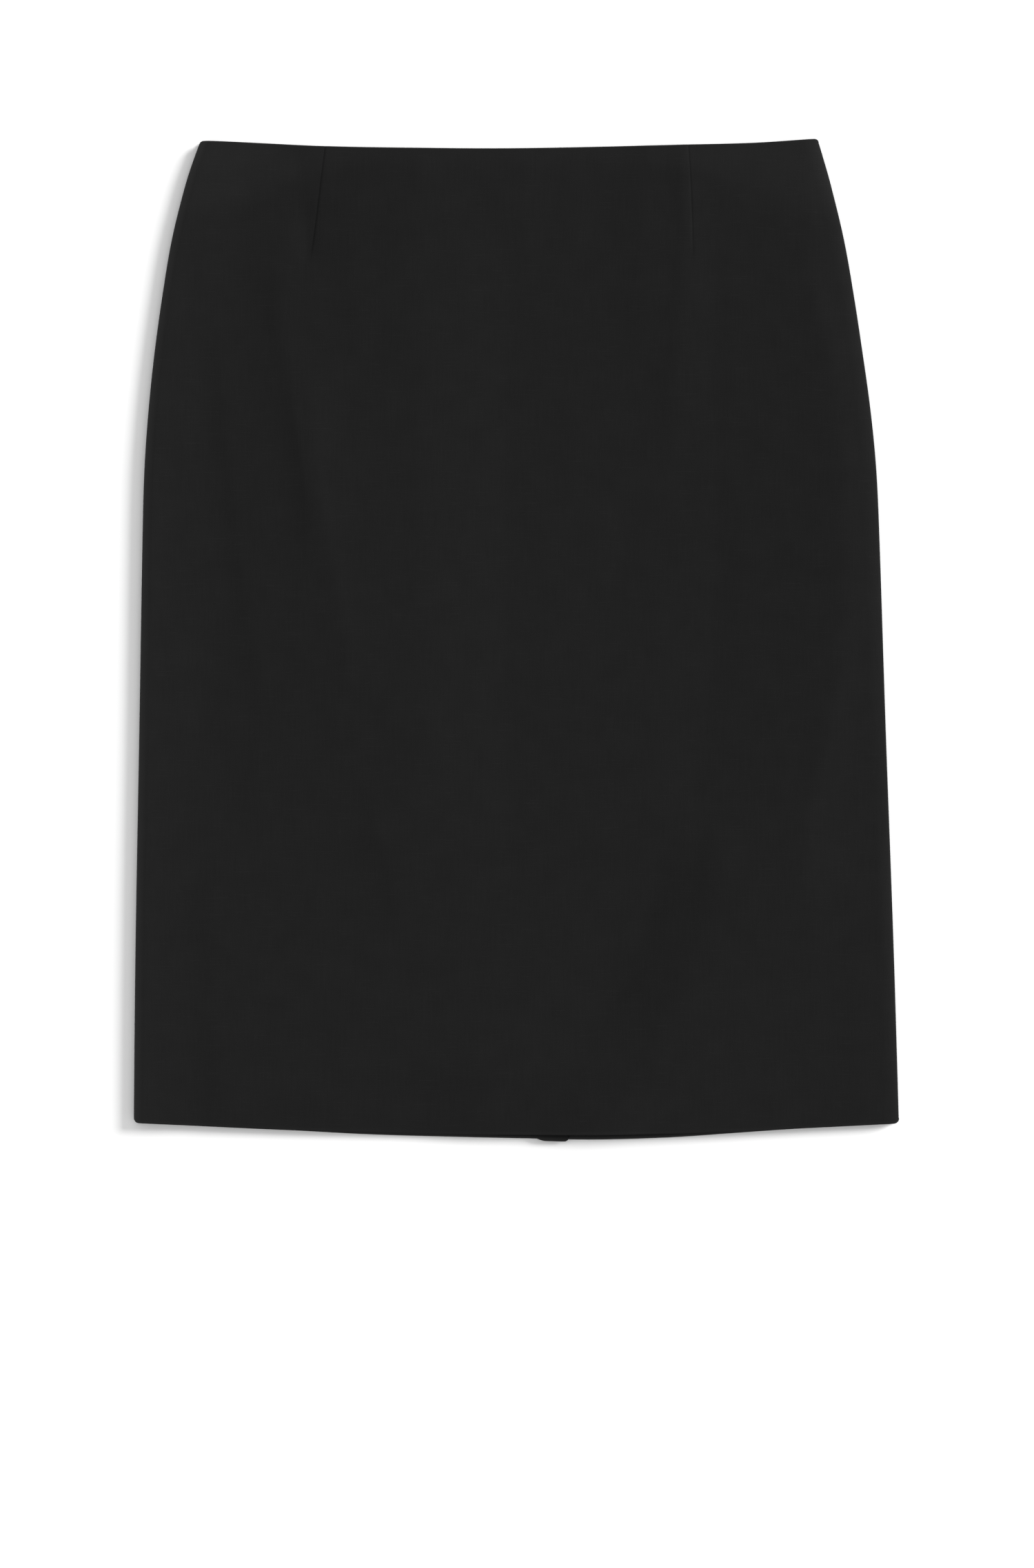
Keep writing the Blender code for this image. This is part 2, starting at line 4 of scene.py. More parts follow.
import bmesh
import bpy
import numpy as np
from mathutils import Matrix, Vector


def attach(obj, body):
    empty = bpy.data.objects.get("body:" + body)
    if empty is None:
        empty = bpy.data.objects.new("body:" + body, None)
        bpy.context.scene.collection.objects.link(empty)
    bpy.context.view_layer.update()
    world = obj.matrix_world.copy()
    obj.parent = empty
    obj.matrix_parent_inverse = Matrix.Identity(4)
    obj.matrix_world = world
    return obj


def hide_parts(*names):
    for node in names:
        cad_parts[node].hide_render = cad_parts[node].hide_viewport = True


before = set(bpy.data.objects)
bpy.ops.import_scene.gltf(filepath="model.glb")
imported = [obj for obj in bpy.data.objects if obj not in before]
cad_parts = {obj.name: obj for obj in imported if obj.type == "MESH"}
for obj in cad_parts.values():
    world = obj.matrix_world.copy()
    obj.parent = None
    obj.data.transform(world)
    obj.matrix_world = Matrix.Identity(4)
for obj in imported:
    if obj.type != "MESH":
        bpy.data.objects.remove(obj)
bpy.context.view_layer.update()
mm = 0.001  # the cloth's form is worked out in millimetres and made in metres
print("frame loaded")

# camera, floor and light

studio = {
    "lens": 85.0,
    "sensor": 36.0,
    "viewLong": 1.001,  # metres of floor along the view's long side
    "aim": (0.0005, -0.092),
    "floorSide": 40.0,
    "floorGap": 0.0001,  # below the cloth
    "floorTone": 0.78,
    "floorRoughness": 0.9,
    "floorSpecular": 0.1,
    "skyStrength": 0.85,
    "keyStrength": 7.2,
    "keyAzimuth": 26.0,  # from the wearer's left, turned towards the waist
    "keyElevation": 18.0,
    "keySoftness": 26.0,
}


def makeStudio(s):
    scene = bpy.context.scene
    scene.view_settings.view_transform = "Standard"
    camera = bpy.data.objects.new("camera", bpy.data.cameras.new("camera"))
    camera.data.lens = s["lens"]
    camera.data.sensor_width = s["sensor"]
    height = s["viewLong"] * s["lens"] / s["sensor"]
    camera.location = (*s["aim"], height)  # straight above, with the waist at the top
    scene.collection.objects.link(camera)
    scene.camera = camera

    world = bpy.data.worlds.new("paleRoom")
    world.use_nodes = True
    sky = world.node_tree.nodes["Background"]
    sky.inputs["Color"].default_value = (1.0, 1.0, 1.0, 1.0)
    sky.inputs["Strength"].default_value = s["skyStrength"]
    scene.world = world

    key = bpy.data.objects.new("keyLight", bpy.data.lights.new("keyLight", "SUN"))
    key.data.energy = s["keyStrength"]
    key.data.angle = math.radians(s["keySoftness"])
    around, up = math.radians(s["keyAzimuth"]), math.radians(s["keyElevation"])
    towards = Vector((math.cos(up) * math.cos(around), math.cos(up) * math.sin(around), math.sin(up)))
    key.rotation_euler = towards.to_track_quat("Z", "Y").to_euler()
    scene.collection.objects.link(key)

    bpy.ops.mesh.primitive_plane_add(size=s["floorSide"], location=(0, 0, -s["floorGap"]))
    floor = bpy.context.object
    floor.name = "floor"
    paper = bpy.data.materials.new("palePaper")
    paper.use_nodes = True
    shader = paper.node_tree.nodes["Principled BSDF"]
    shader.inputs["Base Color"].default_value = (s["floorTone"], s["floorTone"], s["floorTone"], 1.0)
    shader.inputs["Roughness"].default_value = s["floorRoughness"]
    shader.inputs["Specular IOR Level"].default_value = s["floorSpecular"]
    floor.data.materials.append(paper)


makeStudio(studio)
print("studio ready")

# the skirt's lines, in millimetres: +X is the wearer's left, +Y runs to the waist

outline = {
    # height, then how far out the wearer's right and left sides lie
    "sides": [
        (-325, 243.9, 244.4), (-200, 242.7, 240.7), (-62, 240.3, 235.7), (79, 237.9, 231.0),
        (114, 236.7, 229.1), (149, 234.1, 225.5), (184, 230.4, 220.6), (220, 225.4, 215.1),
        (255, 219.5, 208.9), (290, 210.8, 200.5), (308, 204.9, 195.4), (325, 198.5, 190.2),
    ],
    # share of the way across, then the front's and the back's line
    "hem": [
        (0.0, -307.9, -307.9), (0.2, -312.6, -312.8), (0.3, -314.1, -315.4), (0.4, -315.2, -316.9),
        (0.5, -315.6, -318.0), (0.6, -315.6, -318.9), (0.7, -314.8, -317.5), (0.78, -313.6, -314.9),
        (0.86, -311.8, -312.2), (1.0, -308.4, -308.4),
    ],
    "waist": [
        (0.0, 317.9, 317.9), (0.1, 316.5, 315.7), (0.2, 314.6, 312.7), (0.35, 313.3, 309.7),
        (0.5, 313.0, 308.3), (0.65, 314.1, 310.3), (0.8, 315.6, 313.5), (0.9, 316.8, 315.6),
        (1.0, 319.4, 319.4),
    ],
    "hemCorner": 3.0,
    "waistCorner": 1.8,
}
frontLine, backLine = 1, 2  # columns of the hem and waist tables

cloth = {
    "thick": 0.75,
    "fold": 0.86,  # outer radius of a turned-in edge
    "foldSteps": 8,  # in its half turn
    "hemTurn": 36.0,
    "waistTurn": 9.0,
    "curl": 0.8,  # radius at which an edge turns into a seam
    "seamGap": 0.06,
    "seamHeight": 2.75,  # of the side seams above the surface
    "seamEase": 3.0,  # a turned-in edge is level there, and tilts with the cloth this far above or below
}

layers = {
    "flatTop": 4.4,  # of the front, away from what lifts it
    "ventLift": 1.55,
    "ventSoft": 60.0,
    "ventFade": 40.0,
    "headLift": 2.3,
    "headAcross": 110.0,
    "headDown": 120.0,
    "waistDrop": 0.5,  # of the waist edge below the front next to it
    "waistEase": 20.0,
    "backRoll": 1.95,  # radius of the back's rolled side
    "frontStart": 3.55,  # height at which the front's rolled side begins
    "frontRoll": (6.5, 9.5),
    "sideRise": (2.5, 0.4),  # on the wearer's right and left
    "sideEase": (26.0, 40.0),
}

zipPlace = {
    "drop": 13.9,  # from the waist edge to the slider
    "slitHalf": 0.8,  # half the opening between the back panels at the slider
    "slitReach": 4.0,
    "slitSoft": 1.5,
    "recess": 2.2,  # how high the cloth stands over the pull
    "recessHalf": 4.0,
    "recessSoft": 24.0,
    "pullLength": 22.0,
    "pullRoom": 2.0,
    "end": 198.9,  # from the waist edge to the tapes' lower end
}

ventPlace = {
    "height": 200.0,
    "sewn": 12.0,  # from the centre back line to the underlap's sewn side
    "free": 33.0,  # and to its free side
    "below": -400.0,  # further down than any hem
}

# share of the way across at the waist and at the tip, the tip's height, and how far the middle bows
frontDarts = [(0.2035, 0.2095, 243.5, 1.4), (0.7885, 0.772, 243.0, 0.0)]
backDarts = [(0.262, 0.286, 186.0, 1.0), (0.738, 0.714, 186.0, -1.0)]


def ease(t):
    t = np.clip(t, 0.0, 1.0)
    return t * t * (3 - 2 * t)


def plateau(at, low, high, soft):
    return ease((at - low) / soft + 1) * ease((high - at) / soft + 1)


def bell(at, half):
    return np.exp(-((at / half) ** 2))


def curveThrough(rows, column, at):  # a smooth curve through a table's rows
    where = np.array([row[0] for row in rows], float)
    value = np.array([row[column] for row in rows], float)
    before = np.maximum(np.arange(len(rows)) - 1, 0)
    after = np.minimum(np.arange(len(rows)) + 1, len(rows) - 1)
    slope = (value[after] - value[before]) / (where[after] - where[before])
    at = np.clip(at, where[0], where[-1])
    i = np.clip(np.searchsorted(where, at, "right") - 1, 0, len(rows) - 2)
    span = where[i + 1] - where[i]
    t = (at - where[i]) / span
    ends = (1 + 2 * t) * (1 - t) ** 2 * value[i] + t * t * (3 - 2 * t) * value[i + 1]
    return ends + span * (t * (1 - t) ** 2 * slope[i] + t * t * (t - 1) * slope[i + 1])


def sideX(side, y):  # side is -1 for the wearer's right and 1 for the left
    return side * curveThrough(outline["sides"], 1 if side < 0 else 2, y)


def xAt(share, y):
    return (1 - share) * sideX(-1, y) + share * sideX(1, y)


def shareAt(x, y):
    low = sideX(-1, y)
    return (x - low) / (sideX(1, y) - low)


def insetAt(x, y):
    return np.maximum(np.minimum(x - sideX(-1, y), sideX(1, y) - x), 0.0)


def cutBack(inset, radius):  # how far a rounded corner draws an edge back
    left = radius - np.minimum(inset, radius)
    return radius - np.sqrt(radius**2 - left**2)


def hemAt(line, x, y):
    corner = cutBack(insetAt(x, y), outline["hemCorner"])
    return curveThrough(outline["hem"], line, shareAt(x, y)) + corner


def waistAt(line, x, y):
    corner = cutBack(insetAt(x, y), outline["waistCorner"])
    return curveThrough(outline["waist"], line, shareAt(x, y)) - corner


def dartX(dart, y):
    atWaist, atTip, tip, bow = dart
    climb = np.clip((y - tip) / (curveThrough(outline["waist"], frontLine, atWaist) - tip), 0.0, 1.0)
    return xAt(atTip + climb * (atWaist - atTip), y) + 4 * bow * climb * (1 - climb)


def centreX(y):
    return xAt(0.5, y)


centreWaist = float(curveThrough(outline["waist"], backLine, 0.5))
centreHem = float(curveThrough(outline["hem"], backLine, 0.5))
sliderY = centreWaist - zipPlace["drop"]
sliderX = float(centreX(sliderY))
ventTop = centreHem + ventPlace["height"]
tapeLow = centreWaist - zipPlace["end"]


def recess(x, y):
    z = zipPlace
    across = plateau(x - sliderX, -z["recessHalf"], z["recessHalf"], z["recessSoft"])
    low = sliderY - z["pullLength"] - z["pullRoom"]
    return z["recess"] * across * plateau(y, low, sliderY + z["slitReach"], z["recessSoft"])


# folds, from x1, y1 down to x2, y2: bow moves the middle sideways, left and right are how far the
# flanks reach, crest is how round the ridge is, rise is how high it stands, or how deep where negative,
# and fade is how far it runs on past its ends

frontFolds = [
    # x1, y1, x2, y2, bow, left, right, crest, rise, fade
    (-189, 190, -164, -20, -2, 6, 40, 2.0, 0.5, 60),
    (-152, 215, -131, 90, -1, 9, 34, 2.5, 1.05, 50),
    (-131, 130, -107, 0, -2, 46, 13, 2.5, 1.05, 60),
    (-106, 260, -99, 215, 0, 16, 30, 5.0, 0.45, 50),
    (-62, 260, -60, -60, 0, 60, 44, 9.0, 1.4, 150),
    (-4, 250, -7, -50, 0, 30, 80, 5.0, -1.45, 140),
    (84, 320, 80, 215, 0, 14, 60, 4.0, 0.95, 60),
    (107, 290, 100, 160, 3, 11, 60, 3.0, 1.1, 60),
    (70, 60, 56, 20, 0, 28, 60, 7.0, -0.95, 60),
    (124, 260, 114, -110, 10, 26, 42, 3.0, -0.95, 110),
    (137, 190, 134, 90, 0, 10, 40, 4.0, 0.39, 60),
    (184, 240, 184, -110, 25, 75, 18, 6.0, 2.15, 130),
    (92, -165, 4, -330, 4, 80, 34, 4.0, -1.45, 60),
    (128, -165, 48, -340, 8, 44, 90, 10.0, 2.65, 80),
    (88, -170, 56, -215, 2, 40, 18, 3.0, -0.75, 34),
    (-192, -170, -188, -290, 0, 16, 60, 4.0, 1.1, 70),
    (-92, -110, -76, -160, 0, 7, 26, 2.0, 0.5, 40),
    (-134, 266, -133, 250, 0, 5, 13, 2.0, -0.75, 16),
    (-139, 300, -138, 268, 0, 9, 8, 3.0, -0.3, 24),
]


calm = {"across": 34.0, "down": 52.0}  # the cloth is drawn tight over the zip's head


def ridge(aside, left, right, crest):
    reach = np.where(aside < 0, left, right)
    return np.exp((crest - np.sqrt(aside**2 + crest**2)) / reach)


def foldHeight(table, x, y):
    rise = np.zeros_like(x)
    for x1, y1, x2, y2, bow, left, right, crest, height, fade in table:
        down = np.clip((y1 - y) / (y1 - y2), 0.0, 1.0)
        aside = x - (x1 + down * (x2 - x1) + 4 * bow * down * (1 - down))
        rise += height * ridge(aside, left, right, crest) * plateau(y, y2, y1, fade)
    return rise * (1 - bell(x - sliderX, calm["across"]) * bell(y - sliderY, calm["down"]))


def frontLayers(x, y):
    s, v = layers, ventPlace
    aside = x - centreX(y)
    inset = insetAt(x, y)
    fromWaist = waistAt(frontLine, x, y) - y
    vent = plateau(aside, -v["sewn"], v["free"], s["ventSoft"])
    vent = vent * plateau(y - hemAt(frontLine, x, y), v["below"], cloth["hemTurn"], s["ventFade"])
    head = bell(aside, s["headAcross"]) * bell(np.maximum(sliderY - y, 0), s["headDown"])
    rise, reach, roll = (np.where(aside < 0, *s[name]) for name in ("sideRise", "sideEase", "frontRoll"))
    side = rise * bell(np.maximum(inset - roll, 0.0), reach)
    lifts = (s["ventLift"] * vent, s["headLift"] * head, side)
    total = sum(lift**3 for lift in lifts) ** (1 / 3)
    return total - s["waistDrop"] * (1 - ease(fromWaist / s["waistEase"]))


paintedEdgeLight = {  # painted highlight along the edges: how far in from each edge it reaches
    "waist": (16.0, 58.0),  # in the middle and at the corners
    "waistSoft": (15.0, 34.0),
    "waistShare": (0.2, 0.4),
    "cornerAcross": 74.0,
    # the back's hem, shaded by the front's, gets the stronger painted highlight
    "hem": (2.4, 3.5),  # on the front and on the back
    "hemShare": (0.7, 4.4),
    # the painted highlight on the sides lies on the wearer's right only, the side turned away from the key
    # light
    "side": 23.0,
    "sideShare": (0.4, 0.0),  # on the wearer's right and left
    "edge": 6.4,
    "edgeShare": (3.6, 0.0),
}


frontDart = {
    "depth": 0.09,  # of the sewn line
    "half": 0.5,
    "wide": 7.0,  # how far the cloth dips beside it
    "wideShare": 0.35,  # of the depth
    "liftAndPaintedLight": 0.13,  # how high the intake lifts the cloth
    "intake": 10.0,
    "intakeSewn": 1.5,  # over which it rises from the sewn line
    "intakeFold": 3.0,  # and falls to its fold
    "fade": 9.0,
}
backDart = {**frontDart, "depth": 0.25, "liftAndPaintedLight": 0.2, "fade": 12.0}
paintedDartShade = {"dark": 0.27, "half": 0.75, "tipHalf": 1.6, "fade": 5.0}  # painted shade in a dart's sewn line and at its tip


def paintedDartShadeAt(dart, x, y):
    s = paintedDartShade
    aside = x - dartX(dart, y)
    seam = bell(aside, s["half"]) * ease((y - dart[2]) / s["fade"])
    tip = bell(aside, s["tipHalf"]) * bell(y - dart[2] - s["fade"], s["fade"])
    return s["dark"] * np.maximum(seam, tip)


# painted light: a highlight near the edges, less the painted shade in the darts' sewn lines
def paintedEdgeLightAt(line, x, y):
    s = paintedEdgeLight
    inset = insetAt(x, y)
    corner = ease(bell(inset, s["cornerAcross"]))
    names = ("waist", "waistSoft", "waistShare")
    reach, soft, share = (s[name][0] + corner * (s[name][1] - s[name][0]) for name in names)
    waist = share * ease((reach - (waistAt(line, x, y) - y)) / soft)
    hem = s["hemShare"][line - 1] * ease(1 - (y - hemAt(line, x, y)) / s["hem"][line - 1])
    onRight = x < centreX(y)
    side = np.where(onRight, *s["sideShare"]) * ease(1 - inset / s["side"])
    edge = np.where(onRight, *s["edgeShare"]) * ease(1 - inset / s["edge"])
    # painted shade in the darts' sewn lines
    dartShade = sum(paintedDartShadeAt(dart, x, y) for dart in (frontDarts if line == frontLine else backDarts))
    return 1 - (1 - waist) * (1 - side) + hem + edge - dartShade


def dartHeight(s, dart, inner, x, y):  # inner is the direction in which the intake is pressed
    aside = x - dartX(dart, y)
    sewn = ease((y - dart[2]) / s["fade"])
    groove = s["depth"] * bell(aside, s["half"]) + s["wideShare"] * s["depth"] * bell(aside, s["wide"])
    under = ease(inner * aside / s["intakeSewn"]) * ease((s["intake"] - inner * aside) / s["intakeFold"])
    return sewn * (s["liftAndPaintedLight"] * under - groove)


def frontHeight(x, y):
    top = layers["flatTop"] + frontLayers(x, y) + foldHeight(frontFolds, x, y)
    for dart, inner in zip(frontDarts, (1, -1)):
        top += dartHeight(frontDart, dart, inner, x, y)
    return top


backFolds = [
    # x1, y1, x2, y2, bow, left, right, crest, rise, fade
    (-168, 150, -140, -60, 6, 9, 26, 4.0, 0.5, 70),
    (-116, 210, -92, 60, -5, 14, 22, 6.0, 0.45, 80),
    (-206, -90, -150, -250, -10, 24, 12, 7.0, 0.55, 60),
    (-84, -60, -120, -230, 8, 12, 30, 5.0, 0.4, 70),
    (-60, 170, -52, 20, 2, 10, 18, 5.0, 0.35, 60),
    (62, 190, 76, 40, -6, 20, 11, 5.0, 0.45, 70),
    (128, 170, 104, -30, 7, 26, 10, 4.0, 0.55, 80),
    (176, 60, 190, -120, 8, 12, 20, 6.0, 0.5, 70),
    (150, -120, 84, -260, 9, 12, 28, 7.0, 0.55, 60),
    (205, -180, 186, -270, 0, 10, 14, 5.0, 0.4, 40),
]


backLoose = {"low": -282.0, "high": 282.0, "soft": 24.0}  # where the back isn't held flat by its edges


def backHeight(x, y):
    s = backLoose
    loose = plateau(y, s["low"], s["high"], s["soft"]) * ease(insetAt(x, y) / s["soft"])
    under = recess(x, y) + foldHeight(backFolds, x, y) * loose
    for dart, inner in zip(backDarts, (1, -1)):
        under -= np.minimum(dartHeight(backDart, dart, inner, x, y), 0.0)
    return under


# lines that the columns of a panel follow, each a function of height


def besideDart(dart, aside):
    return lambda y: dartX(dart, y) + aside


def besideSide(side, inset):
    return lambda y: sideX(side, y) - side * inset


def besideCentre(side, aside):  # a line along the centre back, which opens at the slider
    z = zipPlace

    def line(y):
        opened = plateau(y, sliderY - z["slitReach"], sliderY + z["slitReach"], z["slitSoft"])
        return centreX(y) + side * (cloth["seamGap"] / 2 + z["slitHalf"] * opened + aside)

    return line


def between(first, last, count):
    shares = [(k + 1) / (count + 1) for k in range(count)]
    return [lambda y, t=t: (1 - t) * first(y) + t * last(y) for t in shares]


dartAsides = [-6, -4.2, -2.8, -1.8, -1.1, -0.7, -0.4, -0.18, 0, 0.18, 0.4, 0.7, 1.1, 1.8, 2.8, 4.2, 6]
lipShares = [1.0, 0.95, 0.84, 0.68, 0.5, 0.3, 0.12]  # of the curl into a seam, from its end
rollAngles = [math.radians(step) for step in (0, 9, 18, 27, 36, 45, 54, 63, 71, 79, 86)]
columnCount = {"sideToDart": 22, "dartToDart": 76, "dartToCentre": 24}
pastCurl = 0.4  # from a centre seam's curl to the next column


def sideColumns(side, roll):  # each column's line, its lip share and its roll angle
    lips = [(besideSide(side, 0.0), share, 0.0) for share in lipShares]
    rolls = [(besideSide(side, roll * (1 - math.cos(angle))), 0.0, angle) for angle in rollAngles]
    return lips + rolls


def plain(lines):
    return [(line, 0.0, None) for line in lines]


def dartLines(dart):
    return [besideDart(dart, aside) for aside in dartAsides]


def frontColumns():
    left, right = (dartLines(dart) for dart in frontDarts)
    edges = [besideSide(side, roll) for side, roll in zip((-1, 1), layers["frontRoll"])]
    outer = columnCount["sideToDart"]
    return [
        *sideColumns(-1, layers["frontRoll"][0]),
        *plain([edges[0], *between(edges[0], left[0], outer), *left]),
        *plain(between(left[-1], right[0], columnCount["dartToDart"])),
        *plain([*right, *between(right[-1], edges[1], outer), edges[1]]),
        *sideColumns(1, layers["frontRoll"][1])[::-1],
    ]


def backColumns(side):
    roll = layers["backRoll"]
    dart = dartLines(backDarts[0 if side < 0 else 1])
    dart = dart if side < 0 else dart[::-1]
    edge, centre = besideSide(side, roll), besideCentre(side, cloth["curl"] + pastCurl)
    outer = between(edge, dart[0], columnCount["sideToDart"])
    inner = between(dart[-1], centre, columnCount["dartToCentre"])
    lips = [(besideCentre(side, cloth["curl"] * (1 - share)), share) for share in lipShares]
    columns = [
        *sideColumns(side, roll),
        *plain([edge, *outer, *dart, *inner, centre]),
        *[(line, -share, None) for line, share in lips[::-1]],
    ]
    return columns if side < 0 else columns[::-1]


# rows: heights above the hem, then evenly up the panel, then drops below the waist

hemRows = [0, 0.8, 2, 3.8, 6.2, 9, 12.5, 16.5, 21, 25.5, 30, 33, 35, 36.5, 38.5, 42, 46.5, 51.5, 57]
middleRows = 128
waistRows = [
    *[62, 58, 54, 50, 46.5, 43, 39.5, 36, 32.5, 29, 25.5, 22.5, 20, 18, 16, 14, 12, 10, 8, 6],
    *[4.2, 2.6, 1.3, 0.5, 0],
]
settling = {"reach": 310.0, "passes": 5}  # first guess of the rows' heights, and how often it is improved


def panelGrid(columns, line):
    fold = cloth["fold"]
    rows = len(hemRows) + middleRows + len(waistRows)
    y = np.repeat(np.linspace(-settling["reach"], settling["reach"], rows)[:, None], len(columns), 1)
    for _ in range(settling["passes"]):
        x = np.stack([column[0](y[:, j]) for j, column in enumerate(columns)], 1)
        hem, waist = hemAt(line, x, y)[0] + fold, waistAt(line, x, y)[-1] - fold
        low = hem + np.array(hemRows)[:, None]
        high = waist - np.array(waistRows)[:, None]
        steps = (np.arange(middleRows) + 1)[:, None] / (middleRows + 1)
        middle = (1 - steps) * low[-1] + steps * high[0]
        y = np.concatenate([low, middle, high])
    return x, y


def unit(v):
    return v / np.maximum(np.linalg.norm(v, axis=-1, keepdims=True), 1e-9)


def normalsOf(points):
    across = np.gradient(points, axis=1)
    along = np.gradient(points, axis=0)
    return unit(np.cross(across, along))


print("form ready")

# materials


def newMaterial(name):
    material = bpy.data.materials.new(name)
    material.use_nodes = True
    return material, material.node_tree, material.node_tree.nodes["Principled BSDF"]


def addNode(tree, kind, **settings):
    node = tree.nodes.new(kind)
    for setting, value in settings.items():
        setattr(node, setting, value)
    return node


def mathNode(tree, operation, first, second=None):
    node = addNode(tree, "ShaderNodeMath", operation=operation)
    for socket, value in zip(node.inputs, (first, second)):
        if isinstance(value, (int, float)):
            socket.default_value = value
        elif value is not None:
            tree.links.new(value, socket)
    return node.outputs[0]


def weightedSum(tree, *pairs):
    total = mathNode(tree, "MULTIPLY", *pairs[0])
    for pair in pairs[1:]:
        total = mathNode(tree, "ADD", total, mathNode(tree, "MULTIPLY", *pair))
    return total


def stretched(tree, place, scale):
    node = addNode(tree, "ShaderNodeVectorMath", operation="MULTIPLY")
    tree.links.new(place, node.inputs[0])
    node.inputs[1].default_value = scale
    return node.outputs[0]


def noiseAt(tree, place, scale, detail):
    node = addNode(tree, "ShaderNodeTexNoise", noise_dimensions="3D")
    tree.links.new(place, node.inputs["Vector"])
    node.inputs["Scale"].default_value = scale
    node.inputs["Detail"].default_value = detail
    return node.outputs["Fac"]


weaveForm = {  # scales are for each metre of cloth
    "wanderScale": 900.0,
    "wander": 0.00045,  # how far the threads stray, in metres
    "woven": 0.35,
    "pebbleScale": 1500.0,
    "slubScale": (60.0, 1500.0, 1.0),
    "slubStart": 0.6,  # a slub shows where its noise is above this
    "streakScale": (1100.0, 45.0, 1.0),
    "cloudScale": 55.0,
    "cloudDetail": 3.0,
    "cloudTint": 0.4,
    "streakTint": 0.3,
    "pebbleTint": 0.3,
    "slubTint": 1.6,
}


def buildWeaveGroup(s):  # Place is the cloth's own flat position, in metres
    group = bpy.data.node_groups.new("weaveGrain", "ShaderNodeTree")
    for name, kind in (("Place", "Vector"), ("Threads", "Float"), ("Pebble", "Float"), ("Slub", "Float")):
        group.interface.new_socket(name, in_out="INPUT", socket_type="NodeSocket" + kind)
    for name in ("Height", "Tint"):
        group.interface.new_socket(name, in_out="OUTPUT", socket_type="NodeSocketFloat")
    given = group.nodes.new("NodeGroupInput").outputs
    made = group.nodes.new("NodeGroupOutput").inputs

    wander = addNode(group, "ShaderNodeTexNoise", noise_dimensions="3D")
    group.links.new(given["Place"], wander.inputs["Vector"])
    wander.inputs["Scale"].default_value = s["wanderScale"]
    bent = addNode(group, "ShaderNodeVectorMath", operation="SCALE")
    group.links.new(wander.outputs["Color"], bent.inputs[0])
    bent.inputs["Scale"].default_value = s["wander"]
    moved = addNode(group, "ShaderNodeVectorMath", operation="ADD")
    group.links.new(given["Place"], moved.inputs[0])
    group.links.new(bent.outputs[0], moved.inputs[1])
    counted = addNode(group, "ShaderNodeVectorMath", operation="SCALE")
    group.links.new(moved.outputs[0], counted.inputs[0])
    group.links.new(given["Threads"], counted.inputs["Scale"])
    parts = addNode(group, "ShaderNodeSeparateXYZ")
    group.links.new(counted.outputs[0], parts.inputs[0])
    warp = mathNode(group, "SINE", mathNode(group, "MULTIPLY", parts.outputs["X"], math.pi))
    weft = mathNode(group, "SINE", mathNode(group, "MULTIPLY", parts.outputs["Y"], math.pi))
    woven = mathNode(group, "MULTIPLY", warp, weft)

    pebble = noiseAt(group, given["Place"], s["pebbleScale"], detail=1.0)
    slub = noiseAt(group, stretched(group, given["Place"], s["slubScale"]), 1.0, detail=1.0)
    slub = mathNode(group, "MAXIMUM", mathNode(group, "SUBTRACT", slub, s["slubStart"]), 0.0)
    streak = noiseAt(group, stretched(group, given["Place"], s["streakScale"]), 1.0, detail=1.0)
    cloud = noiseAt(group, given["Place"], s["cloudScale"], detail=s["cloudDetail"])

    height = weightedSum(group, (woven, s["woven"]), (pebble, given["Pebble"]), (slub, given["Slub"]))
    group.links.new(height, made["Height"])
    shades = {"cloudTint": cloud, "streakTint": streak, "pebbleTint": pebble, "slubTint": slub}
    tint = weightedSum(group, *((shade, s[name]) for name, shade in shades.items()))
    group.links.new(tint, made["Tint"])
    return group


weaveGrain = buildWeaveGroup(weaveForm)

crepeLook = {
    "dark": (0.0056, 0.0056, 0.0056, 1.0),
    "light": (0.0102, 0.0102, 0.0102, 1.0),
    "roughness": 0.9,
    "specular": 0.03,
    "sheen": 0.02,
    "sheenRoughness": 0.5,
    "paintedLight": 0.9,  # how much paler the painted highlight makes the cloth, and how much darker the painted shade
    "threads": 1900.0,  # a metre
    "pebble": 0.9,
    "slub": 2.2,
    "bump": 0.3,
    "bumpDepth": 0.00008,
}

tapeLook = {
    "dark": (0.009, 0.009, 0.010, 1.0),
    "light": (0.020, 0.020, 0.022, 1.0),
    "roughness": 0.7,
    "specular": 0.3,
    "sheen": 0.02,
    "sheenRoughness": 0.4,
    "paintedLight": 0.0,
    "threads": 1500.0,
    "pebble": 0.2,
    "slub": 0.0,
    "bump": 0.6,
    "bumpDepth": 0.0001,
}


